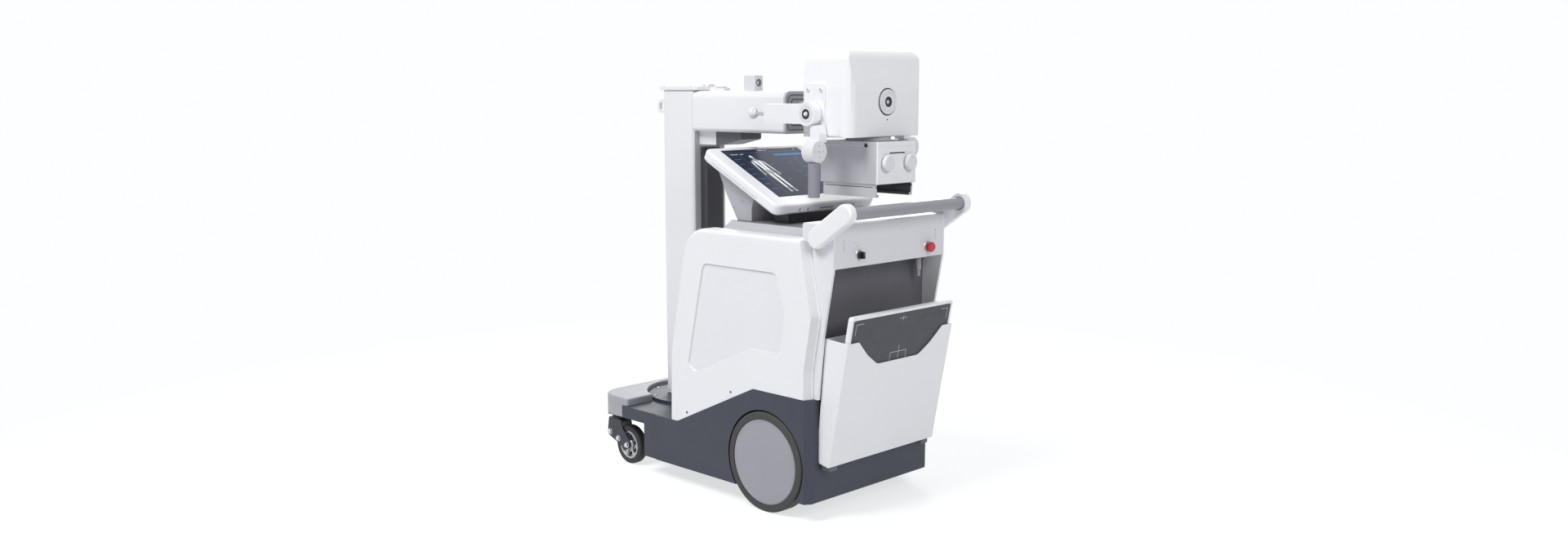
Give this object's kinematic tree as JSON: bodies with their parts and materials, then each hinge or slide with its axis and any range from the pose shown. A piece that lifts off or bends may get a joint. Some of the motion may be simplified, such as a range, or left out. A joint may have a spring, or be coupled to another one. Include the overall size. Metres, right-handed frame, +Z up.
{
  "type": "mobile x-ray machine",
  "caption": "Motor-driven mobile x-ray cart with a rising, turning column, telescopic arm, tilting tube head with collimator, sloped monitor, detector bin and push handle.",
  "frame": {"origin": "on the floor under the middle of the machine", "axes": "+X to the machine's right side as the operator behind it sees it, +Y forward to the column end, +Z up"},
  "size_m": [0.569, 1.145, 1.361],
  "materials": {
    "white_panel": "gloss",
    "white_metal": "satin",
    "slate_metal": "satin",
    "grey_hood": "matte",
    "grey_disc": "matte",
    "tyre_rubber": "matte",
    "black_plastic": "matte",
    "dark_cover": "matte",
    "bright_metal": "satin",
    "grey_metal": "satin",
    "grip_grey": "matte",
    "steel": "satin",
    "inner_metal": "matte",
    "screen_glass": "gloss",
    "clear_glass": "gloss",
    "red_plastic": "gloss",
    "dial_plastic": "matte"
  },
  "bodies": {
    "chassis": {"chassis_base": "slate_metal", "turntable_ring": "slate_metal", "bumper": "grey_hood", "wheel_mounts": "steel", "power_units": "inner_metal", "side_panels": "white_panel", "front_cover": "white_panel", "top_deck": "grey_hood", "console_housing": "white_panel", "recess_panel": "dark_cover", "control_panel": "white_metal", "console_fittings": "grey_disc", "handle_bar": "grey_metal", "handle_pods": "white_panel", "detector_bin": "white_metal", "monitor_housing": "white_panel", "monitor_screen": "screen_glass", "monitor_pedestal": "white_metal", "monitor_rest": "black_plastic"},
    "drive_left": {"drive_tyre_left": "tyre_rubber", "drive_hub_left": "grey_disc"},
    "drive_right": {"drive_tyre_right": "tyre_rubber", "drive_hub_right": "grey_disc"},
    "caster_left": {"caster_fork_left": "steel"},
    "caster_right": {"caster_fork_right": "steel"},
    "caster_wheel_left": {"caster_rim_left": "grey_disc", "caster_tyre_left": "tyre_rubber"},
    "caster_wheel_right": {"caster_rim_right": "grey_disc", "caster_tyre_right": "tyre_rubber"},
    "column": {"column_outer": "white_metal", "cable_cover": "dark_cover", "column_hook": "steel"},
    "carriage": {"mast": "bright_metal", "cap_plate": "grey_metal", "arm_housing": "white_metal", "arm_collar": "grey_metal", "arm_camera": "white_panel"},
    "stage_1": {"arm_stage_1": "bright_metal"},
    "stage_2": {"arm_stage_2": "bright_metal"},
    "yoke_fork": {"yoke": "white_metal"},
    "lock": {"lock_knob": "white_panel"},
    "head": {"head_housing": "white_panel", "side_plates": "white_metal", "trunnions": "white_metal", "angle_dials": "dial_plastic", "tube_insert": "inner_metal", "hand_pads": "white_panel", "hand_grips": "grip_grey"},
    "collimator": {"collimator_ring": "grey_metal", "collimator_body": "white_metal", "collimator_blades": "inner_metal", "light_window": "clear_glass", "accessory_rails": "grey_metal"},
    "field_knob_left": {"collimator_knob_left": "grip_grey"},
    "field_knob_right": {"collimator_knob_right": "grip_grey"},
    "lamp_switch": {"lamp_button": "black_plastic"},
    "detector": {"detector_shell": "white_metal", "detector_face": "dark_cover"},
    "key": {"key_knob": "black_plastic"},
    "stop": {"stop_button": "red_plastic"}
  },
  "joints": [
    {"name": "drive_turn_left", "type": "hinge", "parent": "chassis", "child": "drive_left", "pos_m": [-0.2585, -0.243, 0.152], "axis": [1, 0, 0], "continuous": true},
    {"name": "caster_swivel_left", "type": "hinge", "parent": "chassis", "child": "caster_left", "pos_m": [-0.235, 0.5, 0.15], "axis": [0, 0, 1], "continuous": true},
    {"name": "caster_roll_left", "type": "hinge", "parent": "caster_left", "child": "caster_wheel_left", "pos_m": [-0.235, 0.44, 0.065], "axis": [1, 0, 0], "continuous": true},
    {"name": "drive_turn_right", "type": "hinge", "parent": "chassis", "child": "drive_right", "pos_m": [0.2585, -0.243, 0.152], "axis": [1, 0, 0], "continuous": true},
    {"name": "caster_swivel_right", "type": "hinge", "parent": "chassis", "child": "caster_right", "pos_m": [0.235, 0.5, 0.15], "axis": [0, 0, 1], "continuous": true},
    {"name": "caster_roll_right", "type": "hinge", "parent": "caster_right", "child": "caster_wheel_right", "pos_m": [0.235, 0.44, 0.065], "axis": [1, 0, 0], "continuous": true},
    {"name": "column_turn", "type": "hinge", "parent": "chassis", "child": "column", "pos_m": [0, 0.373, 0.217], "axis": [0, 0, 1], "range_deg": [-180, 180]},
    {"name": "mast_lift", "type": "slide", "parent": "column", "child": "carriage", "axis": [0, 0, 1], "range_m": [0, 0.6]},
    {"name": "arm_extend_1", "type": "slide", "parent": "carriage", "child": "stage_1", "axis": [0, -1, 0], "range_m": [0, 0.25]},
    {"name": "arm_extend_2", "type": "slide", "parent": "stage_1", "child": "stage_2", "axis": [0, -1, 0], "range_m": [0, 0.25]},
    {"name": "yoke_roll", "type": "hinge", "parent": "stage_2", "child": "yoke_fork", "pos_m": [0, -0.18, 1.178], "axis": [0, 1, 0], "range_deg": [-15, 15]},
    {"name": "lock_turn", "type": "hinge", "parent": "yoke_fork", "child": "lock", "pos_m": [-0.1945, -0.17, 1.178], "axis": [0, 1, 0], "range_deg": [0, 270]},
    {"name": "head_tilt", "type": "hinge", "parent": "yoke_fork", "child": "head", "pos_m": [0, -0.34, 1.178], "axis": [1, 0, 0], "range_deg": [-50, 50]},
    {"name": "collimator_turn", "type": "hinge", "parent": "head", "child": "collimator", "pos_m": [0, -0.394, 1.1], "axis": [0, 0, 1], "range_deg": [-90, 90]},
    {"name": "field_turn_left", "type": "hinge", "parent": "collimator", "child": "field_knob_left", "pos_m": [-0.05, -0.505, 1.039], "axis": [0, 1, 0], "range_deg": [-120, 120]},
    {"name": "field_turn_right", "type": "hinge", "parent": "collimator", "child": "field_knob_right", "pos_m": [0.05, -0.505, 1.039], "axis": [0, 1, 0], "range_deg": [-120, 120]},
    {"name": "lamp_press", "type": "slide", "parent": "collimator", "child": "lamp_switch", "axis": [1, 0, 0], "range_m": [0, 0.002], "stiffness_N_per_m": 600, "springref_m": -0.001},
    {"name": "detector_slide", "type": "slide", "parent": "chassis", "child": "detector", "axis": [0, -0.1844, 0.9828], "range_m": [0, 0.3]},
    {"name": "key_turn", "type": "hinge", "parent": "chassis", "child": "key", "pos_m": [-0.143, -0.4867, 0.782], "axis": [0, 1, 0], "range_deg": [0, 90]},
    {"name": "stop_press", "type": "slide", "parent": "chassis", "child": "stop", "axis": [0, 1, 0], "range_m": [0, 0.005]}
  ],
  "couplings": [
    {"joint": "arm_extend_2", "follows": "arm_extend_1", "ratio": 1}
  ]
}
